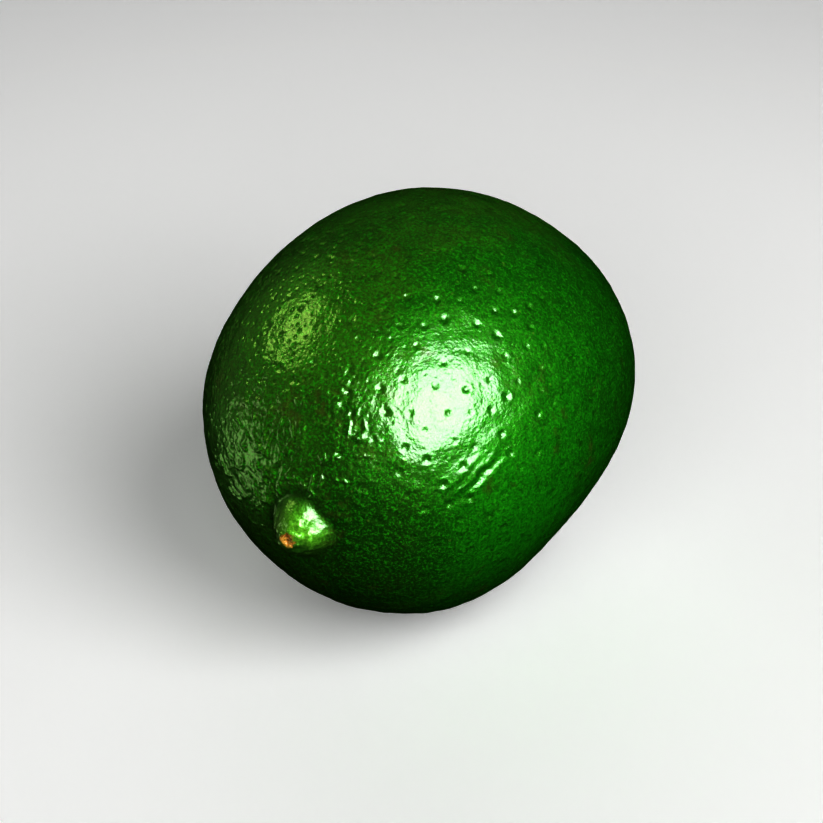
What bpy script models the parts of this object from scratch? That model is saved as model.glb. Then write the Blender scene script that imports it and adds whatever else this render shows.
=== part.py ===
"""A whole Persian lime lying on its side, as one solid.

The fruit's own axis runs along Y: the nipple, with the scar of the style on
its tip, points to -Y, and the stem end, a shallow dimple with the button the
stalk left behind, points to +Y. +Z is up, and the fruit rests on a small flat
spot. The origin is the centre of its box, at the height of that spot.
"""

import math

import bmesh
import bpy
from mathutils import Vector

# Driving sizes, in metres
HALF_LENGTH = 0.0330  # centre to either end of the body, along Y
HALF_WIDTH = 0.0274  # centre to the flank, across
FLAT_DEPTH = 0.00060  # how much of the round belly the resting spot takes away

NIPPLE_HEIGHT = 0.0034  # how far the blunt knob stands out of the body
NIPPLE_RADIUS = 0.0039  # its half width where it leaves the body
NIPPLE_DROOP = 0.0009  # how far its tip leans down
NECK_RADIUS = 0.0062  # the faint ring-shaped hollow around the knob
NECK_WIDTH = 0.0016
NECK_DEPTH = 0.00040

DIMPLE_RADIUS = 0.0052  # the hollow at the stem end
DIMPLE_DEPTH = 0.0011
BUTTON_RADIUS = 0.0023  # the calyx button standing in it
BUTTON_HEIGHT = 0.0007

# No lime is a true ellipsoid: broad swells and flats of the flanks, each as
# the direction of its middle and its height as a share of the radius there.
SWELL_SPREAD = math.radians(29)
SWELLS = (
    ((0.80, 0.58, 0.17), 0.022),
    ((0.36, -0.47, -0.81), 0.038),
    ((-0.88, -0.48, 0.00), 0.039),
    ((0.23, 0.69, 0.69), -0.035),
    ((0.83, 0.00, -0.56), -0.047),
)

# Mesh density: meridians, rings, and how closely the rings crowd at both ends
MERIDIANS = 60
RINGS = 46
CROWDING = 0.72

NAME = "lime"


def plateau(distance, radius, sharpness):
    """1 in the middle, falling smoothly to 0 about the given radius."""
    return math.exp(-((distance / radius) ** sharpness))


def body_point(direction):
    """The point of the fruit's skin that lies in a direction from its centre."""
    x, y, z = direction
    radius = 1.0 / math.sqrt((y / HALF_LENGTH) ** 2 + (x * x + z * z) / HALF_WIDTH**2)
    swell = 0.0
    for middle, height in SWELLS:
        angle = direction.angle(Vector(middle))
        swell += height * math.exp(-((angle / SWELL_SPREAD) ** 2))
    point = direction * radius * (1.0 + swell)

    off_axis = math.hypot(point.x, point.z)
    if y < 0:
        knob = plateau(off_axis, NIPPLE_RADIUS, 3.0)
        neck = math.exp(-(((off_axis - NECK_RADIUS) / NECK_WIDTH) ** 2))
        point.y -= NIPPLE_HEIGHT * knob - NECK_DEPTH * neck
        point.z -= NIPPLE_DROOP * knob**1.5
    else:
        dimple = plateau(off_axis, DIMPLE_RADIUS, 2.2)
        button = plateau(off_axis, BUTTON_RADIUS, 4.0)
        point.y -= DIMPLE_DEPTH * dimple - BUTTON_HEIGHT * button
    return point


def skin_direction(on_sphere):
    """A sphere's vertex turned so that its poles lie on the fruit's axis, with
    the rings drawn towards both poles, where the nipple and the stem end are."""
    polar = math.acos(max(-1.0, min(1.0, on_sphere.z)))
    around = math.atan2(on_sphere.y, on_sphere.x)
    polar -= CROWDING * math.sin(2.0 * polar) / 2.0
    ring = math.sin(polar)
    return Vector((ring * math.cos(around), -math.cos(polar), ring * math.sin(around)))


def peel_material():
    material = bpy.data.materials.new("lime_peel")
    material.use_nodes = True
    shader = material.node_tree.nodes["Principled BSDF"]
    shader.inputs["Base Color"].default_value = (0.020, 0.140, 0.008, 1.0)
    shader.inputs["Roughness"].default_value = 0.30
    shader.inputs["Metallic"].default_value = 0.0
    material.diffuse_color = (0.020, 0.140, 0.008, 1.0)
    return material


def build_lime(collection):
    form = bmesh.new()
    bmesh.ops.create_uvsphere(
        form, u_segments=MERIDIANS, v_segments=RINGS, radius=1.0
    )
    for vertex in form.verts:
        vertex.co = body_point(skin_direction(vertex.co.normalized()))

    # The resting spot: the belly is cut level and closed with one flat face.
    belly = min(vertex.co.z for vertex in form.verts)
    cut_height = belly + FLAT_DEPTH
    bmesh.ops.bisect_plane(
        form,
        geom=form.verts[:] + form.edges[:] + form.faces[:],
        dist=1e-6,
        plane_co=(0.0, 0.0, cut_height),
        plane_no=(0.0, 0.0, -1.0),
        clear_outer=True,
    )
    rim = [edge for edge in form.edges if edge.is_boundary]
    bmesh.ops.contextual_create(form, geom=rim)
    for edge in rim:
        for vertex in edge.verts:
            vertex.co.z = cut_height

    # The origin goes to the middle of the box, on the plane it rests on.
    low = [min(vertex.co[axis] for vertex in form.verts) for axis in range(3)]
    high = [max(vertex.co[axis] for vertex in form.verts) for axis in range(3)]
    shift = Vector(
        (-(low[0] + high[0]) / 2.0, -(low[1] + high[1]) / 2.0, -cut_height)
    )
    bmesh.ops.translate(form, verts=form.verts, vec=shift)
    bmesh.ops.recalc_face_normals(form, faces=form.faces)

    mesh = bpy.data.meshes.new(NAME)
    form.to_mesh(mesh)
    form.free()
    mesh.shade_smooth()
    mesh.set_sharp_from_angle(angle=math.radians(40))
    mesh.materials.append(peel_material())
    lime = bpy.data.objects.new(NAME, mesh)
    collection.objects.link(lime)
    return lime


def main():
    for leftover in list(bpy.data.objects):
        bpy.data.objects.remove(leftover, do_unlink=True)
    collection = bpy.data.collections.new("Lime")
    bpy.context.scene.collection.children.link(collection)
    build_lime(collection)


main()
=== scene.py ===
"""The looks of the lime: its peel as a fine mesh with pits, pebbling and
wrinkles, a procedural peel material, and a plain studio set-up.

The fruit lies along Y: nipple to -Y, stem end to +Y, +Z up.
"""

import math

import bpy
import numpy as np
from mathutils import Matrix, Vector, kdtree


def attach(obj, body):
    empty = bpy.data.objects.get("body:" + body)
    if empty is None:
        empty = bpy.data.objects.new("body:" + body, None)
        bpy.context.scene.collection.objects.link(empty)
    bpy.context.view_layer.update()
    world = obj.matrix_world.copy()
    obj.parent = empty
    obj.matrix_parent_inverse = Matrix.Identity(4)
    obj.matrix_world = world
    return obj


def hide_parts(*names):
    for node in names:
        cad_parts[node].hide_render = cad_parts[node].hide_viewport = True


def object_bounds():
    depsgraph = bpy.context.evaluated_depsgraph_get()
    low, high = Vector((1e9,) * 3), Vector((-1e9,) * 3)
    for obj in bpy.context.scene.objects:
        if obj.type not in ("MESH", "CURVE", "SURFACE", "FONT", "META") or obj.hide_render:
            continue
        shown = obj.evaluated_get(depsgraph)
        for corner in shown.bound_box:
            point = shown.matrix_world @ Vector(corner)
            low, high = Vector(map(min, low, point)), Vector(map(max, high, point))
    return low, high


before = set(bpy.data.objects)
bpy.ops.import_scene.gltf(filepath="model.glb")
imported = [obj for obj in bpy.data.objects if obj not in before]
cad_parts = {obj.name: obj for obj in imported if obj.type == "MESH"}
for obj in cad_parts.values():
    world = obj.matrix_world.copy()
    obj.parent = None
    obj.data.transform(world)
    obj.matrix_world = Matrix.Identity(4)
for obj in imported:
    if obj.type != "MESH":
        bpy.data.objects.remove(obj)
CAD_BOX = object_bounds()
MM = 0.001

# --------------------------------------------------------------------------
# The fruit's form, in millimetres: the same body as the CAD solid's
HALF_LENGTH, HALF_WIDTH, FLAT_DEPTH = 33.0, 27.4, 0.60
NIPPLE_HEIGHT, NIPPLE_DROOP = 3.4, 0.6
KNOB_RADIUS, KNOB_SHIFT = 3.45, (0.05, 0.80)
DIMPLE_RADIUS, DIMPLE_DEPTH = 5.2, 1.1
SWELL_SPREAD = math.radians(29)
SWELLS = (
    ((0.80, 0.58, 0.17), 0.022),
    ((0.36, -0.47, -0.81), 0.038),
    ((-0.88, -0.48, 0.00), 0.039),
    ((0.23, 0.69, 0.69), -0.035),
    ((0.83, 0.00, -0.56), -0.047),
)
GRID = 256  # cells along each side of the cube-sphere


# --------------------------------------------------------------------------
# Noise, worked out per vertex
def hashed(i, j, k, seed):
    h = (
        i.astype(np.uint64) * np.uint64(374761393)
        + j.astype(np.uint64) * np.uint64(668265263)
        + k.astype(np.uint64) * np.uint64(2246822519)
        + np.uint64(seed * 3266489917 % (1 << 32))
    ) & np.uint64(0xFFFFFFFF)
    h = ((h ^ (h >> np.uint64(15))) * np.uint64(2246822519)) & np.uint64(0xFFFFFFFF)
    h = ((h ^ (h >> np.uint64(13))) * np.uint64(3266489917)) & np.uint64(0xFFFFFFFF)
    return h ^ (h >> np.uint64(16))


SLOPES = np.random.default_rng(5).normal(size=(256, 3))
SLOPES /= np.linalg.norm(SLOPES, axis=1)[:, None]


def noise(p, size, seed=0):
    """Smooth gradient noise of about -1 to 1, one bump per size."""
    q = np.asarray(p, float) / size + 4096.0
    cell = np.floor(q)
    f = q - cell
    cell = cell.astype(np.int64)
    w = f * f * f * (f * (f * 6 - 15) + 10)
    total = np.zeros(len(q))
    for corner in range(8):
        o = np.array([corner & 1, corner >> 1 & 1, corner >> 2 & 1])
        c = cell + o
        g = SLOPES[(hashed(c[:, 0], c[:, 1], c[:, 2], seed) & np.uint64(255)).astype(int)]
        weight = np.prod(np.where(o, w, 1 - w), axis=1)
        total += weight * np.einsum("ij,ij->i", g, f - o)
    return total * 1.9


def layered(p, size, seed=0, octaves=3, gain=0.5):
    return sum(
        gain**n * noise(p, size / 2**n, seed + 17 * n) for n in range(octaves)
    )


def smooth(x, low, high):
    t = np.clip((x - low) / (high - low), 0, 1)
    return t * t * (3 - 2 * t)


# --------------------------------------------------------------------------
# The base: a sphere made from a cube's six grids, so that its mesh is even
def cube_sphere(n):
    """Unit directions, quads facing out, and each quad corner's place in a flat
    layout of the six grids, three by two."""
    axes = []
    for axis in range(3):
        for side in (-1, 1):
            u, v = (axis + 1) % 3, (axis + 2) % 3
            axes.append((axis, side, u, v) if side > 0 else (axis, side, v, u))
    i, j = np.meshgrid(np.arange(n + 1), np.arange(n + 1), indexing="ij")
    places, flats = [], []
    margin = 0.012
    for face, (axis, side, u, v) in enumerate(axes):
        p = np.zeros((n + 1, n + 1, 3), np.int64)
        p[..., axis] = side * n
        p[..., u] = 2 * i - n
        p[..., v] = 2 * j - n
        places.append(p.reshape(-1, 3))
        inset = margin + (1 - 2 * margin) * np.stack([i, j], -1).reshape(-1, 2) / n
        flats.append((inset + (face % 3, face // 3)) / (3, 2))
    places, flats = np.concatenate(places), np.concatenate(flats)
    unique, index = np.unique(places, axis=0, return_inverse=True)
    index = index.reshape(-1)
    directions = np.tan(unique / n * math.pi / 4)
    directions /= np.linalg.norm(directions, axis=1)[:, None]
    a = (np.arange(n)[:, None] * (n + 1) + np.arange(n)[None, :]).reshape(-1)
    quad = np.stack([a, a + n + 1, a + n + 2, a + 1], -1)
    quads = np.concatenate([quad + f * (n + 1) ** 2 for f in range(6)])
    return directions, index[quads], flats[quads]


def body(d):
    """The smooth body's skin in direction d from its centre, in millimetres."""
    radius = 1 / np.sqrt(
        (d[:, 1] / HALF_LENGTH) ** 2 + (d[:, 0] ** 2 + d[:, 2] ** 2) / HALF_WIDTH**2
    )
    swell = 0.0
    for middle, height in SWELLS:
        m = np.array(middle) / np.linalg.norm(middle)
        angle = np.arccos(np.clip(d @ m, -1, 1))
        swell = swell + height * np.exp(-((angle / SWELL_SPREAD) ** 2))
    return d * (radius * (1 + swell))[:, None]


def normals_of(points, quads):
    a, b, c, e = (points[quads[:, k]] for k in range(4))
    face = np.cross(c - a, e - b)
    out = np.zeros_like(points)
    for k in range(4):
        for axis in range(3):
            out[:, axis] += np.bincount(
                quads[:, k], weights=face[:, axis], minlength=len(points)
            )
    return out / np.linalg.norm(out, axis=1)[:, None]


def tree_of(points):
    tree = kdtree.KDTree(len(points))
    for n, p in enumerate(points):
        tree.insert(p, n)
    tree.balance()
    return tree


def scattered(rng, spacing, tries, low_share=0.0):
    """Points strewn over the body, none nearer to another than the spacing."""
    d = rng.normal(size=(tries, 3))
    d /= np.linalg.norm(d, axis=1)[:, None]
    p = body(d)
    cells, kept = {}, []
    for n, q in enumerate(p):
        home = tuple(int(x) for x in np.floor(q / spacing))
        near = (
            cells.get((home[0] + a, home[1] + b, home[2] + c), ())
            for a in (-1, 0, 1)
            for b in (-1, 0, 1)
            for c in (-1, 0, 1)
        )
        if all(
            (q[0] - p[m][0]) ** 2 + (q[1] - p[m][1]) ** 2 + (q[2] - p[m][2]) ** 2
            > spacing * spacing
            for group in near
            for m in group
        ):
            cells.setdefault(home, []).append(n)
            kept.append(n)
    return p[kept]


# --------------------------------------------------------------------------
# The peel: the fruit's large shapes first, then every feature of its skin as a
# height over them
CROWDING = 0.30  # how far the mesh is drawn towards both ends, for their detail


def build_lime():
    d, quads, flats = cube_sphere(GRID)
    polar = np.arccos(np.clip(-d[:, 1], -1, 1))
    around = np.arctan2(d[:, 0], d[:, 2])
    polar = polar - CROWDING * np.sin(2 * polar) / 2
    ring = np.sin(polar)
    d = np.stack([ring * np.sin(around), -np.cos(polar), ring * np.cos(around)], -1)
    base = body(d)
    front = d[:, 1] < 0
    back = ~front
    off = np.hypot(base[:, 0], base[:, 2])  # distance from the fruit's axis
    to_nipple = np.degrees(polar)
    rng = np.random.default_rng(20)

    def about_axis(turns, depth=0.0, seed=0):
        return noise(
            np.stack([np.sin(around) * turns, np.cos(around) * turns, depth + 0 * off], -1),
            1.0,
            seed,
        )

    # Broad unevenness of the flanks
    out = normals_of(base, quads)
    broad = 0.09 * layered(base, 12, 1, 2) + 0.03 * layered(base, 4.6, 2, 2)
    points = base + out * broad[:, None]

    # The nipple: a blunt, low knob, rounded-square with a corner up and a flat
    # flank to each side, and a tip that rises from it and leans down, off its middle
    kx, kz = base[:, 0] + KNOB_SHIFT[0], base[:, 2] + KNOB_SHIFT[1]
    flank_u, flank_v = 0.72 * kx + 0.69 * kz, 0.72 * kz - 0.69 * kx
    from_knob = (np.abs(flank_u) ** 3.0 + np.abs(flank_v / 1.07) ** 3.0) ** (1 / 3.0)
    knob_angle = np.arctan2(kx, kz)
    uneven = 1 + 0.04 * about_axis(1.3, off / 3, 71)
    knob = np.exp(-((from_knob / (KNOB_RADIUS * uneven)) ** 4.6)) * front
    tip = np.exp(-((np.hypot(base[:, 0] + 0.55, base[:, 2] + 1.10) / 1.9) ** 2.2)) * front
    points[:, 1] -= NIPPLE_HEIGHT * (0.66 * knob + 0.34 * tip)
    points[:, 2] -= NIPPLE_DROOP * (0.55 * knob + 0.45 * tip)

    # The furrow round it, deepest on its -X and upper sides
    lean = 0.5 - 0.5 * np.cos(knob_angle - math.radians(110))
    furrow_at = 4.1 + 0.25 * about_axis(1.6, 0.0, 61)
    furrow = np.exp(-(((from_knob - furrow_at) / 0.75) ** 2)) * front
    points[:, 1] += furrow * (0.12 + 0.45 * lean)

    # A fold that bounds it on the -X side and runs on up the fruit
    fold_x = base[:, 0] + 4.35 + 0.25 * noise(base, 2.4, 62) - 0.06 * np.maximum(base[:, 2] - 1, 0)
    fold = np.exp(-((fold_x / 0.42) ** 2)) * front
    fold *= smooth(base[:, 2], -4.5, -2.0) * smooth(base[:, 2], 8.5, 4.0)
    points[:, 1] += 0.42 * fold

    # The scar: a ragged little hollow with a raised, torn edge
    scar_at = np.hypot(base[:, 0] + 0.30, (base[:, 2] + 0.35) * 1.25)
    ragged = 0.98 + 0.34 * noise(base, 0.9, 81) + 0.20 * noise(base, 0.40, 82)
    scar = smooth(scar_at / ragged, 1.15, 0.85) * front
    points[:, 1] += front * (
        0.42 * np.exp(-((scar_at / (0.75 * ragged)) ** 3))
        - 0.16 * np.exp(-(((scar_at / ragged - 1.12) / 0.22) ** 2))
    )

    # The stem end: a hollow, and in it a low button with five blunt lobes
    hollow = np.exp(-((off / DIMPLE_RADIUS) ** 2.2)) * back
    points[:, 1] -= DIMPLE_DEPTH * hollow
    lobes = 2.25 + 0.28 * np.cos(5 * around + 0.6) + 0.12 * noise(base, 1.3, 91)
    button = np.exp(-((off / lobes) ** 7)) * back
    seat = np.exp(-((off / 0.95) ** 5)) * back
    points[:, 1] += button * (0.75 + 0.07 * noise(base, 0.7, 92)) - 0.38 * seat
    points[:, 1] -= back * 0.22 * np.exp(-(((off / lobes - 1.22) / 0.16) ** 2))

    # From here on, heights over that shape
    form = points.copy()
    out = normals_of(form, quads)
    height = np.zeros(len(d))
    plain = 1 - np.clip(button + scar, 0, 1)

    # Open oil glands: deep pits without a floor, and small ones between them
    tree = tree_of(form)
    pitted = np.zeros(len(d))
    shrink = plain * (1 - 0.55 * smooth(to_nipple, 36, 20))
    upper = smooth(d @ np.array((0.05, -0.72, 0.69)), 0.15, 0.75)
    shrink *= 0.45 + 0.55 * upper  # shallower on the flanks and towards the stem

    def sink(centres, radii, depths, lip_share):
        for q, radius, depth in zip(centres, radii, depths):
            for _, n, away in tree.find_range(q, radius * 1.9):
                x = away / radius
                bowl = math.exp(-((x / 0.62) ** 1.6))
                lip = math.exp(-(((x - 1.15) / 0.38) ** 2))
                height[n] -= shrink[n] * depth * (bowl - lip_share * lip)
                if bowl * depth > pitted[n]:
                    pitted[n] = bowl * depth

    def on_form(centres):
        near = [tree.find(q)[1] for q in centres]
        return form[near] + (centres - base[near])

    big = on_form(scattered(rng, 2.75, 12000))
    size = rng.beta(2.0, 1.9, len(big))
    sink(big, 0.48 + 0.28 * size, 0.07 + 0.19 * size, 0.14)
    small = on_form(scattered(rng, 0.92, 60000))
    size = rng.beta(1.5, 2.6, len(small))
    shrink *= 1.45 - 1.10 * smooth(d[:, 0], -0.12, 0.45)
    sink(small, 0.26 + 0.20 * size, 0.030 + 0.095 * size, 0.18)

    # Low swells between the glands, and fine pebbling of the whole skin
    height += plain * (
        0.060 * noise(form, 2.1, 30)
        + 0.014 * noise(form, 1.05, 31)
        + 0.007 * noise(form, 0.55, 32)
    )

    # Creases that run in towards the nipple: a net of narrow, broken ridges drawn
    # out along the fruit, strongest on its -X and upper side
    side = 0.5 + 0.5 * np.cos(around - math.radians(-35))
    wrinkled = smooth(to_nipple, 44, 20) * (0.22 + 0.78 * smooth(side, 0.45, 0.92))
    wrinkled *= smooth(from_knob, 3.8, 5.6)
    wrinkled *= 0.45 + 0.55 * smooth(layered(base, 9, 3, 2), -0.5, 0.4)
    turns = 7.2 * np.sqrt(np.maximum(off, 1) / 13)
    rays = np.stack([np.sin(around) * turns, np.cos(around) * turns, to_nipple / 8.0], -1)
    bend = 0.50 * np.stack([noise(base, 3.0, 41 + n) for n in range(3)], -1)
    ridge = np.clip(1 - 2.3 * np.abs(noise(rays + bend, 1.0, 44)), 0, 1) ** 1.6
    fine = np.clip(1 - 2.1 * np.abs(noise((rays + bend) * 1.9, 1.0, 45)), 0, 1) ** 1.6
    broken = smooth(noise(base, 1.7, 46), -0.25, 0.35)
    height += plain * wrinkled * (
        0.42 * ridge * broken + 0.08 * fine - 0.10
        + 0.05 * noise(form, 0.9, 49) + 0.03 * noise(form, 0.5, 50)
    )
    height += plain * knob * (0.17 * noise(form, 1.1, 47) + 0.08 * noise(form, 0.6, 48))

    # Slanting ridges and a dent on the right flank
    middle = np.array((19.0, -21.5, 7.0))
    along = np.array((0.60, 0.52, 0.61))
    along /= np.linalg.norm(along)
    rel = base - middle
    s = rel @ along
    t = rel @ np.cross(middle / np.linalg.norm(middle), along)
    s = s + 0.5 * noise(base, 2.5, 55)
    t = t + 0.35 * noise(base, 2.0, 56)
    for shift, start, width, rise, reach in (
        (0.0, 0.0, 0.50, 0.17, 3.4),
        (1.5, -0.8, 0.45, 0.12, 3.0),
        (-1.7, 1.4, 0.50, 0.10, 2.6),
        (-0.9, 0.0, 0.60, -0.18, 4.2),
        (3.2, 0.5, 1.40, -0.16, 4.5),
    ):
        height += rise * np.exp(-(((t - shift) / width) ** 2) - ((s - start) / reach) ** 2)

    # Creases that run into the stem end, and torn fibres in the scar
    creases = about_axis(3.2, off / 4.0, 51)
    crease_zone = back * smooth(off, 10.5, 4.5) * smooth(off, 2.4, 3.2)
    height += crease_zone * (0.20 * creases - 0.08)
    height += scar * 0.13 * noise(form * (1.0, 1.0, 2.2), 0.55, 83)
    height += button * 0.05 * noise(form, 0.5, 84)

    points = form + out * height[:, None]

    # The resting spot: the belly pressed level, with a soft edge
    belly = base[:, 2].min() + FLAT_DEPTH
    gap = points[:, 2] - belly
    soft = 0.10
    points[:, 2] = belly + np.where(
        gap > 3 * soft, gap, soft * np.logaddexp(0, np.minimum(gap, 3 * soft) / soft)
    )
    near = (gap > 2 * soft) & (gap <= 3 * soft)
    points[near, 2] = belly + gap[near] + (
        soft * np.logaddexp(0, gap[near] / soft) - gap[near]
    ) * (3 * soft - gap[near]) / soft
    pressed = gap < 0.02
    points[pressed, 2] = belly + soft * np.logaddexp(0, gap[pressed] / soft) * 0.15

    # Into the CAD's box: the belly on the floor, and what would stand out of a
    # side of the box eased back into it
    cad_low, cad_high = np.array(CAD_BOX[0]) / MM, np.array(CAD_BOX[1]) / MM
    place = np.array(((cad_low[0] + cad_high[0]) / 2, 0.0, cad_low[2] + 0.01))
    low, high = form.min(0), form.max(0)
    place[0] -= (low[0] + high[0]) / 2
    place[1] = (cad_low[1] + cad_high[1]) / 2 - (low[1] + high[1]) / 2
    place[2] -= points[:, 2].min()
    points += place
    ease = 0.5
    for axis, sign, wall in (
        (0, 1, cad_high[0]), (0, -1, -cad_low[0]), (1, 1, cad_high[1]),
        (1, -1, -cad_low[1]), (2, 1, cad_high[2]),
    ):
        over = (sign * points[:, axis] - (wall - 0.02 - ease)) / ease
        eased = np.where(over > 0, np.tanh(over), over)
        points[:, axis] = sign * (wall - 0.02 - ease + eased * ease)
    points *= MM
    centre = place * MM  # the body's centre in the row's frame

    mesh = bpy.data.meshes.new("lime_skin")
    mesh.vertices.add(len(points))
    mesh.vertices.foreach_set("co", points.astype(np.float32).ravel())
    mesh.loops.add(quads.size)
    mesh.loops.foreach_set("vertex_index", quads.astype(np.int32).ravel())
    mesh.polygons.add(len(quads))
    mesh.polygons.foreach_set(
        "loop_start", np.arange(0, quads.size, 4, dtype=np.int32)
    )
    mesh.update(calc_edges=True)
    mesh.validate()
    mesh.shade_smooth()
    layer = mesh.uv_layers.new(name="OFBake")
    layer.uv.foreach_set("vector", flats.reshape(-1).astype(np.float32))
    for name, values in (
        ("pit", np.clip(pitted / 0.20, 0, 1)),
        ("scar", scar),
        ("knob", knob),
        ("tip", tip),
        ("button", button),
        ("seat", seat),
        ("furrow", np.clip(furrow * (0.3 + 0.7 * lean), 0, 1)),
        ("wrinkled", wrinkled),
        ("hollow", np.clip(hollow, 0, 1)),
    ):
        mesh.attributes.new(name, "FLOAT", "POINT").data.foreach_set(
            "value", np.asarray(values, np.float32)
        )
    lime = bpy.data.objects.new("lime_skin", mesh)
    bpy.context.scene.collection.objects.link(lime)
    return lime, Vector(centre)


# --------------------------------------------------------------------------
# Materials
class Nodes:
    """A short way to write a node tree."""

    def __init__(self, name):
        self.material = bpy.data.materials.new(name)
        self.material.use_nodes = True
        self.tree = self.material.node_tree
        self.shader = self.tree.nodes["Principled BSDF"]

    def add(self, kind, **settings):
        node = self.tree.nodes.new(kind)
        for key, value in settings.items():
            setattr(node, key, value)
        return node

    def link(self, a, b):
        self.tree.links.new(a, b)

    def put(self, socket, value):
        if isinstance(value, bpy.types.NodeSocket):
            self.link(value, socket)
        else:
            socket.default_value = value

    def coords(self):
        return self.add("ShaderNodeTexCoord").outputs["Object"]

    def noise(self, where, per_mm, detail=3.0, rough=0.5, distort=0.0, out="Fac"):
        node = self.add("ShaderNodeTexNoise")
        self.link(where, node.inputs["Vector"])
        node.inputs["Scale"].default_value = per_mm * 1000.0
        node.inputs["Detail"].default_value = detail
        node.inputs["Roughness"].default_value = rough
        node.inputs["Distortion"].default_value = distort
        return node.outputs[out]

    def cells(self, where, per_mm, feature="F1", out="Distance"):
        node = self.add("ShaderNodeTexVoronoi", feature=feature)
        self.link(where, node.inputs["Vector"])
        node.inputs["Scale"].default_value = per_mm * 1000.0
        return node.outputs[out]

    def apart(self, where, point):
        node = self.add("ShaderNodeVectorMath", operation="DISTANCE")
        self.link(where, node.inputs[0])
        node.inputs[1].default_value = point
        return node.outputs["Value"]

    def span(self, value, low, high, to_low=0.0, to_high=1.0, soft=True):
        node = self.add(
            "ShaderNodeMapRange", interpolation_type="SMOOTHSTEP" if soft else "LINEAR"
        )
        self.put(node.inputs["Value"], value)
        for name, number in (
            ("From Min", low),
            ("From Max", high),
            ("To Min", to_low),
            ("To Max", to_high),
        ):
            node.inputs[name].default_value = number
        return node.outputs["Result"]

    def math(self, operation, a, b=0.5, clamp=False):
        node = self.add("ShaderNodeMath", operation=operation, use_clamp=clamp)
        self.put(node.inputs[0], a)
        self.put(node.inputs[1], b)
        return node.outputs[0]

    def mix(self, share, a, b, blend="MIX"):
        node = self.add("ShaderNodeMix", data_type="RGBA", blend_type=blend)
        self.put(node.inputs["Factor"], share)
        for socket, value in ((node.inputs[6], a), (node.inputs[7], b)):
            self.put(socket, (*value, 1.0) if isinstance(value, tuple) else value)
        return node.outputs[2]

    def mask(self, name):
        return self.add("ShaderNodeAttribute", attribute_name=name).outputs["Fac"]

    def axis(self, where, name):
        node = self.add("ShaderNodeSeparateXYZ")
        self.link(where, node.inputs[0])
        return node.outputs[name]


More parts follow.
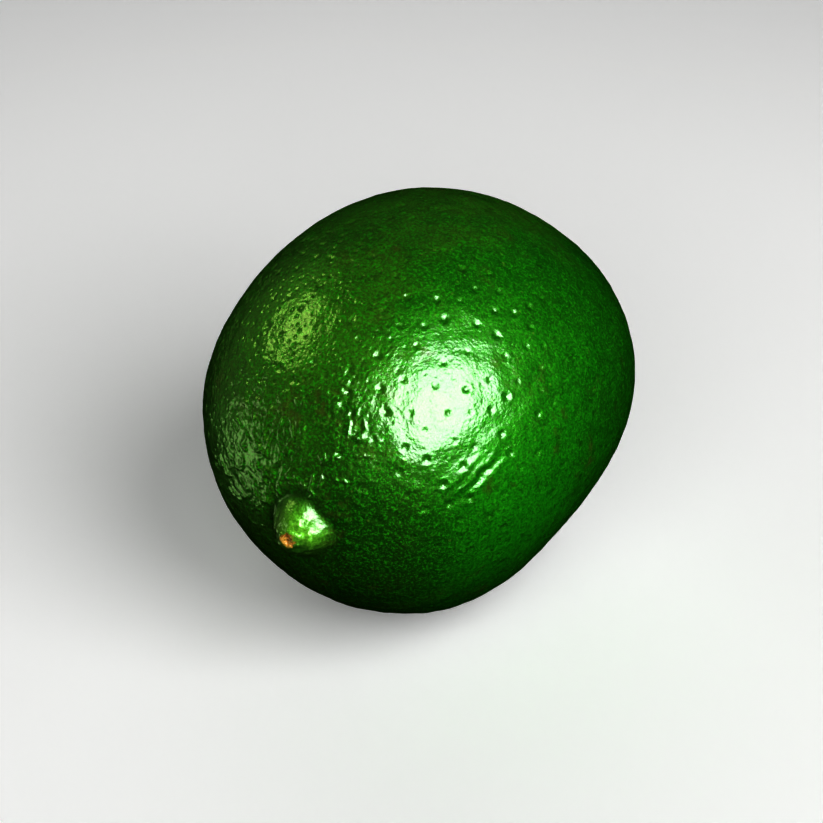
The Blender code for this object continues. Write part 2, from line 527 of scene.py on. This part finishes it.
def peel_material():
    k = Nodes("lime_peel_look")
    at = k.coords()
    green, bright, deep = (0.009, 0.235, 0.005), (0.030, 0.400, 0.010), (0.008, 0.095, 0.003)
    olive, dusk = (0.062, 0.200, 0.011), (0.026, 0.080, 0.007)
    fleck, brown = (0.30, 0.52, 0.07), (0.105, 0.075, 0.018)

    x, y, z = (k.axis(at, name) for name in "XYZ")
    patchy = k.noise(at, 0.11, 4.0, 0.6)
    mottle = k.noise(at, 0.62, 3.0, 0.6)
    grain = k.noise(at, 2.9, 3.0, 0.75)
    specks = k.cells(at, 1.35)

    # Clear green on the +X flank, olive over the rest of the fruit
    flank = k.span(
        k.math("ADD", x, k.span(patchy, 0.3, 0.7, -0.007, 0.007)), 0.000, 0.017
    )
    colour = k.mix(flank, olive, green)
    dark = k.mix(flank, dusk, deep)
    colour = k.mix(k.math("MULTIPLY", k.span(patchy, 0.40, 0.68), 0.55), colour, dark)

    # Painted shade: darker towards the bottom under the belly, and round the nipple's lower side
    low = k.span(z, 0.016, 0.001)
    colour = k.mix(k.math("MULTIPLY", low, 0.40), colour, dark)
    nipple_painted_shade = k.math("MULTIPLY", k.span(y, -0.017, -0.027), k.span(x, -0.004, 0.006))
    colour = k.mix(k.math("MULTIPLY", nipple_painted_shade, 0.82), colour, (0.010, 0.050, 0.003))
    # Painted light: a brighter, clearer green patch low on the front of the +X flank, standing in for lamp light
    # there
    painted_light_patch = k.span(k.apart(at, (0.0240, -0.0145, 0.0265)), 0.017, 0.004)
    colour = k.mix(k.math("MULTIPLY", painted_light_patch, 0.45), colour, (0.011, 0.400, 0.006))
    # Painted shade: the +X flank darker towards the stem end
    rear_painted_shade = k.math("MULTIPLY", k.span(y, -0.002, 0.014), flank)
    colour = k.mix(k.math("MULTIPLY", rear_painted_shade, 0.50), colour, dark)

    # Mottling at the size of the glands, then the grain between them
    colour = k.mix(k.math("MULTIPLY", k.span(mottle, 0.50, 0.70), 0.60), colour, dark)
    colour = k.mix(k.math("MULTIPLY", k.span(grain, 0.505, 0.62), 1.00), colour, bright)
    colour = k.mix(k.math("MULTIPLY", k.span(grain, 0.49, 0.36), 0.95), colour, dark)
    colour = k.mix(k.math("MULTIPLY", k.span(specks, 0.20, 0.05), 0.30), colour, dark)

    # Brown scuffing in patches, and pale flecks one to a cell
    scuffs = k.math(
        "MULTIPLY", k.span(k.noise(at, 0.10, 3.0, 0.6), 0.55, 0.70), k.span(mottle, 0.46, 0.62)
    )
    colour = k.mix(k.math("MULTIPLY", scuffs, 0.55), colour, brown)
    flecks = k.math(
        "MULTIPLY", k.span(k.cells(at, 0.62), 0.17, 0.06), k.span(k.noise(at, 0.35, 2.0), 0.50, 0.64)
    )
    colour = k.mix(k.math("MULTIPLY", flecks, 0.45), colour, fleck)

    # Painted shade darkens the pits; then the nipple, painted shade in the furrow, the scar and the stem end
    colour = k.mix(k.math("MULTIPLY", k.mask("pit"), 0.55), colour, dark)
    knob_tone = k.mix(k.span(grain, 0.35, 0.65), (0.12, 0.42, 0.022), (0.34, 0.80, 0.080))
    colour = k.mix(k.math("MULTIPLY", k.mask("knob"), 0.90), colour, knob_tone)
    # painted shade darkens the underside of the knob; the side it leans to turns darker olive-brown
    slope = k.math("ADD", k.math("MULTIPLY", x, 0.35), k.math("MULTIPLY", z, 0.94))
    knob_underside_painted_shade = k.math("MULTIPLY", k.mask("knob"), k.span(slope, 0.0264, 0.0238))
    colour = k.mix(k.math("MULTIPLY", knob_underside_painted_shade, 0.90), colour, (0.016, 0.100, 0.008))
    browned = k.math("MULTIPLY", k.mask("knob"), k.span(x, 0.0006, -0.0022))
    colour = k.mix(k.math("MULTIPLY", browned, 0.80), colour, (0.070, 0.085, 0.016))
    # Painted shade in the furrow round the knob
    colour = k.mix(k.math("MULTIPLY", k.mask("furrow"), 0.75), colour, (0.010, 0.035, 0.006))
    scar_tone = k.mix(k.span(k.noise(at, 2.2, 3.0, 0.7), 0.35, 0.62), (0.30, 0.075, 0.018), (0.95, 0.42, 0.11))
    colour = k.mix(k.mask("scar"), colour, scar_tone)
    hollow = k.math("MULTIPLY", k.mask("hollow"), 0.55)
    colour = k.mix(hollow, colour, (0.10, 0.30, 0.030))
    button_tone = k.mix(k.span(k.noise(at, 1.4, 4.0, 0.7), 0.35, 0.65), (0.13, 0.10, 0.035), (0.33, 0.29, 0.12))
    colour = k.mix(k.mask("button"), colour, button_tone)
    colour = k.mix(k.math("MULTIPLY", k.mask("seat"), 0.8), colour, (0.45, 0.36, 0.20))

    dry = k.math("MAXIMUM", k.mask("scar"), k.mask("button"))
    rough = k.span(k.noise(at, 0.30, 4.0, 0.6), 0.3, 0.7, 0.40, 0.50)
    rough = k.math("ADD", rough, k.math("MULTIPLY", scuffs, 0.08))
    rough = k.math("ADD", rough, k.math("MULTIPLY", dry, 0.35), clamp=True)

    fine = k.math(
        "ADD", k.math("MULTIPLY", k.noise(at, 2.6, 0.0), 0.45),
        k.math("MULTIPLY", k.noise(at, 5.2, 1.0, 0.6), 0.35),
    )
    bump = k.add("ShaderNodeBump")
    bump.inputs["Strength"].default_value = 0.90
    bump.inputs["Distance"].default_value = 0.00008
    k.link(fine, bump.inputs["Height"])

    shader = k.shader
    k.link(colour, shader.inputs["Base Color"])
    k.link(rough, shader.inputs["Roughness"])
    k.link(bump.outputs["Normal"], shader.inputs["Normal"])
    k.link(bump.outputs["Normal"], shader.inputs["Coat Normal"])
    shader.inputs["IOR"].default_value = 1.48
    shader.inputs["Specular IOR Level"].default_value = 0.90
    shader.inputs["Specular Tint"].default_value = (0.24, 1.0, 0.05, 1.0)
    shader.inputs["Coat Weight"].default_value = 0.88
    shader.inputs["Coat Roughness"].default_value = 0.17
    shader.inputs["Coat IOR"].default_value = 1.5
    shader.inputs["Subsurface Weight"].default_value = 0.08
    shader.inputs["Subsurface Radius"].default_value = (0.4, 1.0, 0.2)
    shader.inputs["Subsurface Scale"].default_value = 0.0012
    return k.material


def floor_material():
    k = Nodes("studio_floor")
    at = k.coords()
    tone = k.mix(
        k.span(k.noise(at, 0.004, 3.0), 0.3, 0.7), (0.84, 0.84, 0.83), (0.88, 0.88, 0.87)
    )
    # away from the fruit it takes less light and gives some off, into the backdrop
    far = k.apart(at, (0.0, 0.0, 0.0))
    tone = k.mix(k.span(far, 0.10, 0.32, 1.0, 0.15), (0.0, 0.0, 0.0), tone)
    k.link(tone, k.shader.inputs["Base Color"])
    k.shader.inputs["Roughness"].default_value = 0.75
    k.shader.inputs["Specular IOR Level"].default_value = 0.0
    k.shader.inputs["Emission Color"].default_value = (1.0, 1.0, 1.0, 1.0)
    k.link(k.span(far, 0.10, 0.60, 0.22, 0.68), k.shader.inputs["Emission Strength"])
    return k.material


# --------------------------------------------------------------------------
# The studio
def towards(azimuth, elevation):
    a, e = math.radians(azimuth), math.radians(elevation)
    return Vector(
        (math.sin(a) * math.cos(e), -math.cos(a) * math.cos(e), math.sin(e))
    )


def soft_light(name, centre, azimuth, elevation, distance, half_angle, radiance, colour=(1, 1, 1)):
    """A round soft light of a given brightness, as wide as half_angle each way."""
    data = bpy.data.lights.new(name, "AREA")
    data.shape = "DISK"
    radius = distance * math.tan(math.radians(half_angle))
    data.size = 2 * radius
    data.energy = radiance * math.pi * math.pi * radius * radius
    data.color = colour
    light = bpy.data.objects.new(name, data)
    way = towards(azimuth, elevation)
    light.location = centre + way * distance
    light.rotation_euler = way.to_track_quat("Z", "Y").to_euler()
    light.visible_camera = False
    bpy.context.scene.collection.objects.link(light)
    return light


def build_studio(centre):
    scene = bpy.context.scene
    mesh = bpy.data.meshes.new("studio_floor")
    n, half = 24, 4.0
    ticks = np.linspace(-half, half, n + 1)
    verts = [(x, y, 0.0) for x in ticks for y in ticks]
    faces = [
        (a * (n + 1) + b, (a + 1) * (n + 1) + b, (a + 1) * (n + 1) + b + 1, a * (n + 1) + b + 1)
        for a in range(n)
        for b in range(n)
    ]
    mesh.from_pydata(verts, [], faces)
    mesh.materials.append(floor_material())
    floor = bpy.data.objects.new("studio_floor", mesh)
    scene.collection.objects.link(floor)
    floor.visible_glossy = False
    floor.visible_diffuse = False
    floor.visible_shadow = False

    world = bpy.data.worlds.new("studio_world")
    scene.world = world
    world.use_nodes = True
    background = world.node_tree.nodes["Background"]
    background.inputs["Color"].default_value = (0.94, 0.97, 1.0, 1.0)
    background.inputs["Strength"].default_value = 0.80
    world.cycles_visibility.diffuse = False
    world.cycles_visibility.glossy = False

    # Large soft boxes that light the skin, and smaller ones that it mirrors
    for name, azimuth, elevation, distance, half_angle, radiance in (
        ("soft_key", 78, 44, 1.10, 22, 4.6),
        ("soft_front", 16, 34, 1.10, 22, 2.0),
        ("soft_low", 56, 16, 1.10, 22, 1.8),
    ):
        soft_light(name, centre, azimuth, elevation, distance, half_angle, radiance).visible_glossy = False
    for name, azimuth, elevation, distance, half_angle, radiance, colour in (
        ("shine_key", 60, 39.5, 0.90, 25.5, 20.0, (1.0, 0.89, 1.15)),
        ("shine_left", -86, 34, 0.80, 9.5, 10.0, (0.80, 1.0, 0.32)),
        ("shine_side", -88, 14, 0.90, 34, 0.26, (0.65, 1.0, 0.35)),
        ("shine_low", -63, -14, 0.40, 13.5, 3.6, (0.76, 1.0, 0.50)),
    ):
        soft_light(name, centre, azimuth, elevation, distance, half_angle, radiance, colour).visible_diffuse = False
    soft_light("rear_fill", centre, -150, 8, 1.20, 32, 1.7).visible_glossy = False

    camera = bpy.data.cameras.new("camera")
    camera.lens = 100.0
    px = 54.0 / 394.5 * MM  # one image pixel's width at the fruit's centre
    distance = 0.45
    camera.sensor_width = 823 * px / distance * camera.lens
    eye = bpy.data.objects.new("camera", camera)
    azimuth, elevation = 28.8, 35.6
    back = towards(azimuth, elevation)
    a, e = math.radians(azimuth), math.radians(elevation)
    right = Vector((math.cos(a), math.sin(a), 0))
    up = Vector((-math.sin(a) * math.sin(e), math.cos(a) * math.sin(e), math.cos(e)))
    # The fruit's centre falls at (422.5, 394.2) of the 823 x 823 frame
    aim = centre - right * (422.5 - 411.5) * px - up * (411.5 - 394.2) * px
    eye.location = aim + back * distance
    eye.rotation_euler = back.to_track_quat("Z", "Y").to_euler()
    camera.clip_start = 0.01
    camera.clip_end = 20.0
    scene.collection.objects.link(eye)
    scene.camera = eye
    scene.view_settings.view_transform = "Standard"
    scene.view_settings.gamma = 0.65


lime, centre = build_lime()
lime.data.materials.append(peel_material())
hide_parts("lime")
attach(lime, "root")
build_studio(centre)
